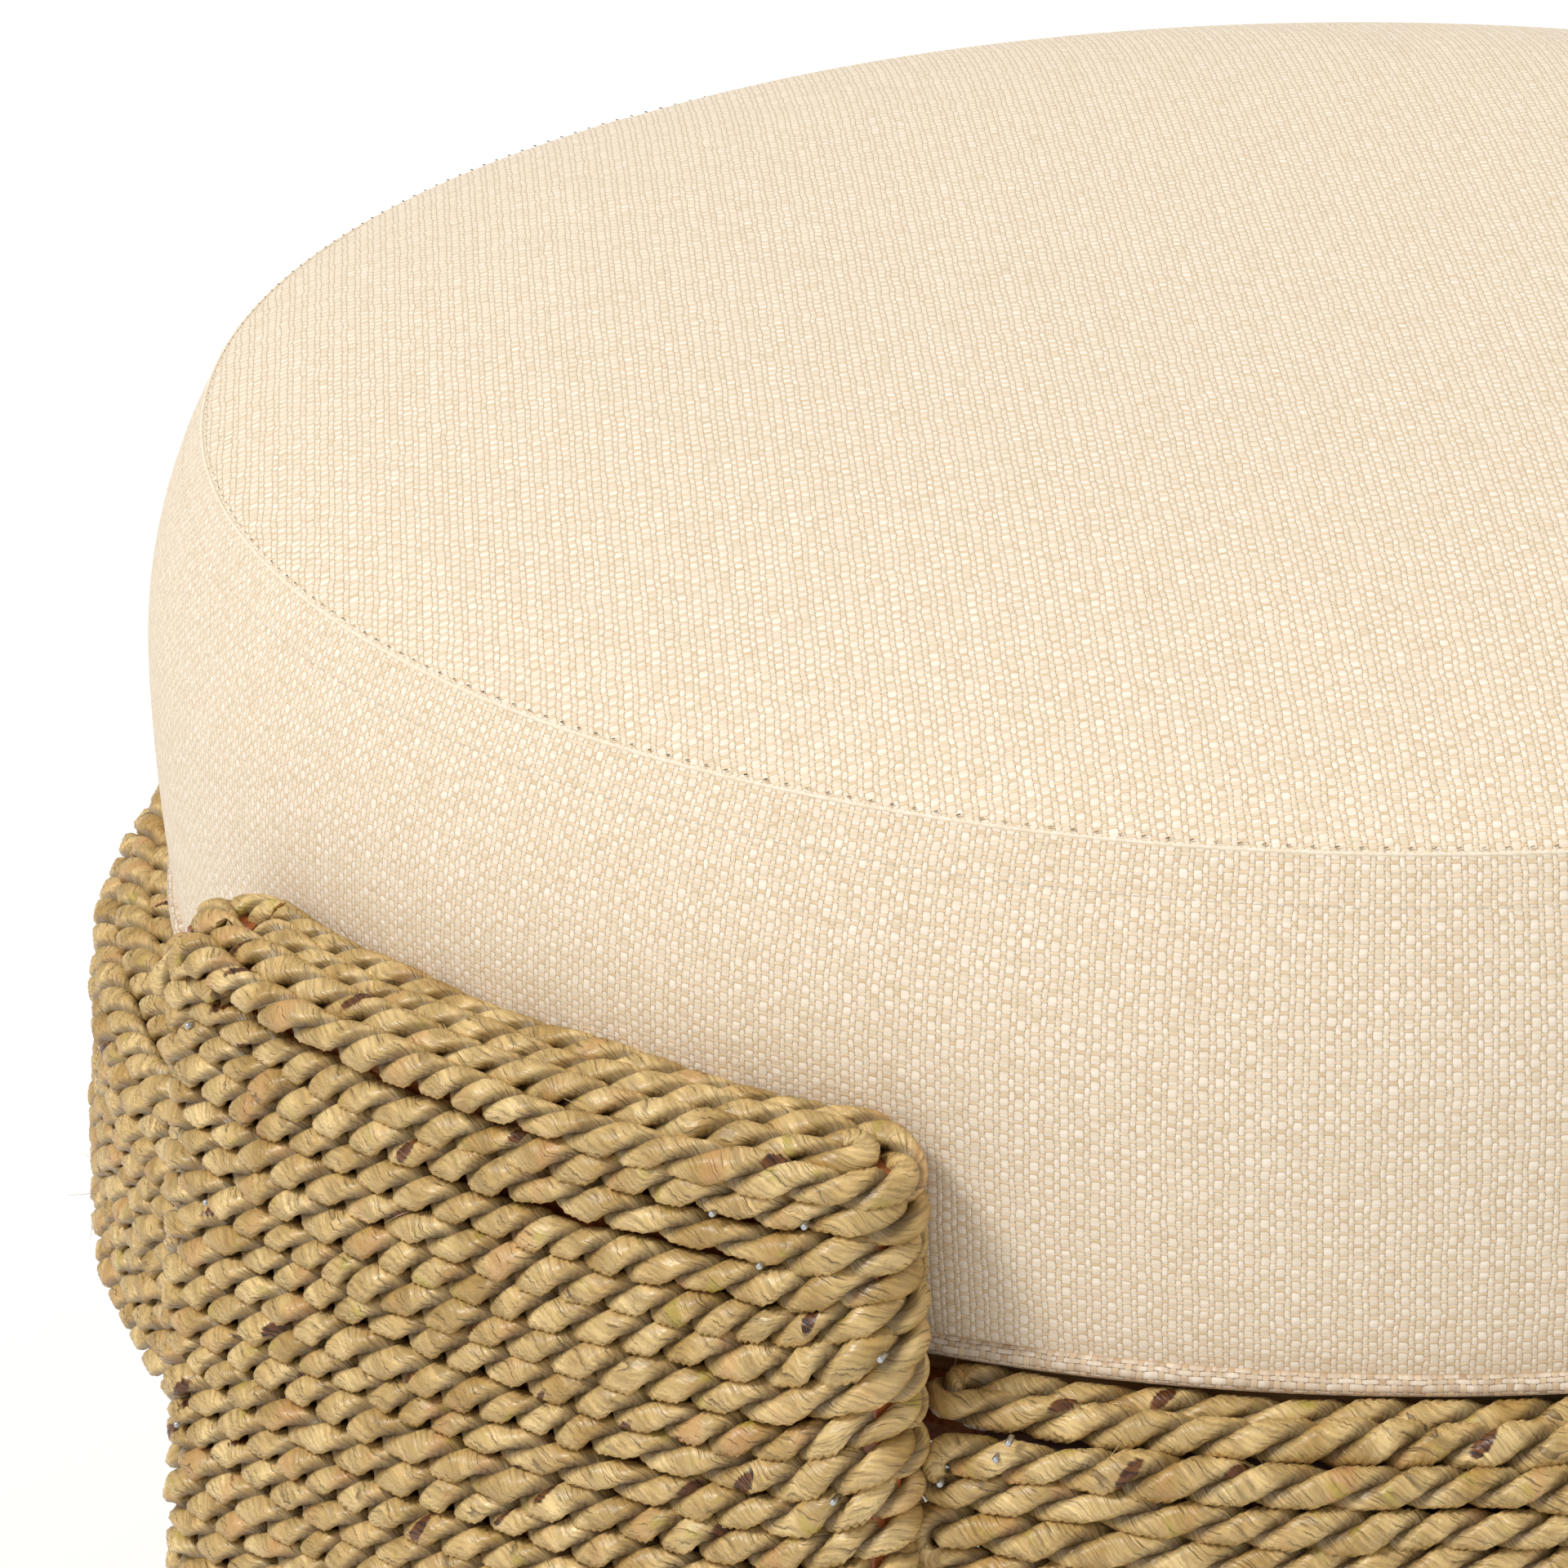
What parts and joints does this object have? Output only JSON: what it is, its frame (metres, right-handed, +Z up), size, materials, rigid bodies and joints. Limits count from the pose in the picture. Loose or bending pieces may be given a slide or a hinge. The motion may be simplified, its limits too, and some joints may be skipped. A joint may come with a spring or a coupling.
{
  "type": "outdoor ottoman",
  "caption": "Round outdoor ottoman: a thick loose boxed cushion held between wide upright rope-wound slab legs on a rattan ring frame.",
  "frame": {"origin": "on the floor, under the centre of the ottoman", "axes": "+Z up; the legs stand on the diagonals between the X and Y axes"},
  "size_m": [0.6054, 0.6054, 0.4546],
  "materials": {
    "cushion_fabric": "woven outdoor canvas, cream",
    "welt_fabric": "piping in the same woven fabric",
    "foam": "polyurethane foam",
    "seagrass": "twisted seagrass rope",
    "rattan": "varnished rattan pole",
    "plywood": "bare plywood",
    "glide": "moulded nylon",
    "steel": "zinc-plated screw"
  },
  "bodies": {
    "frame": {"seat_ring_upper": "rattan", "seat_ring_lower": "rattan", "seat_deck": "plywood", "cross_bar_sideways": "rattan", "cross_bar_lengthwise": "rattan", "deck_screw_1": "steel", "deck_screw_2": "steel", "deck_screw_3": "steel", "deck_screw_4": "steel", "leg_front_right_post_left": "rattan", "leg_front_right_glide_left": "glide", "leg_front_right_post_right": "rattan", "leg_front_right_glide_right": "glide", "leg_front_right_rail_top": "rattan", "leg_front_right_rail_bottom": "rattan", "leg_front_right_canes": "rattan", "leg_front_right_winding": "seagrass", "leg_front_right_top_roll": "seagrass", "leg_back_right_post_left": "rattan", "leg_back_right_glide_left": "glide", "leg_back_right_post_right": "rattan", "leg_back_right_glide_right": "glide", "leg_back_right_rail_top": "rattan", "leg_back_right_rail_bottom": "rattan", "leg_back_right_canes": "rattan", "leg_back_right_winding": "seagrass", "leg_back_right_top_roll": "seagrass", "leg_back_left_post_left": "rattan", "leg_back_left_glide_left": "glide", "leg_back_left_post_right": "rattan", "leg_back_left_glide_right": "glide", "leg_back_left_rail_top": "rattan", "leg_back_left_rail_bottom": "rattan", "leg_back_left_canes": "rattan", "leg_back_left_winding": "seagrass", "leg_back_left_top_roll": "seagrass", "leg_front_left_post_left": "rattan", "leg_front_left_glide_left": "glide", "leg_front_left_post_right": "rattan", "leg_front_left_glide_right": "glide", "leg_front_left_rail_top": "rattan", "leg_front_left_rail_bottom": "rattan", "leg_front_left_canes": "rattan", "leg_front_left_winding": "seagrass", "leg_front_left_top_roll": "seagrass", "apron_front_panel": "plywood", "apron_front_rope": "seagrass", "apron_right_panel": "plywood", "apron_right_rope": "seagrass", "apron_back_panel": "plywood", "apron_back_rope": "seagrass", "apron_left_panel": "plywood", "apron_left_rope": "seagrass"},
    "cushion": {"cushion_boxing": "cushion_fabric", "cushion_top_panel": "cushion_fabric", "cushion_bottom_panel": "cushion_fabric", "cushion_welt": "welt_fabric", "cushion_foam": "foam"}
  },
  "joints": [
    {"name": "cushion_lift", "type": "slide", "parent": "frame", "child": "cushion", "axis": [0, 0, 1], "range_m": [0, 0.12]}
  ]
}
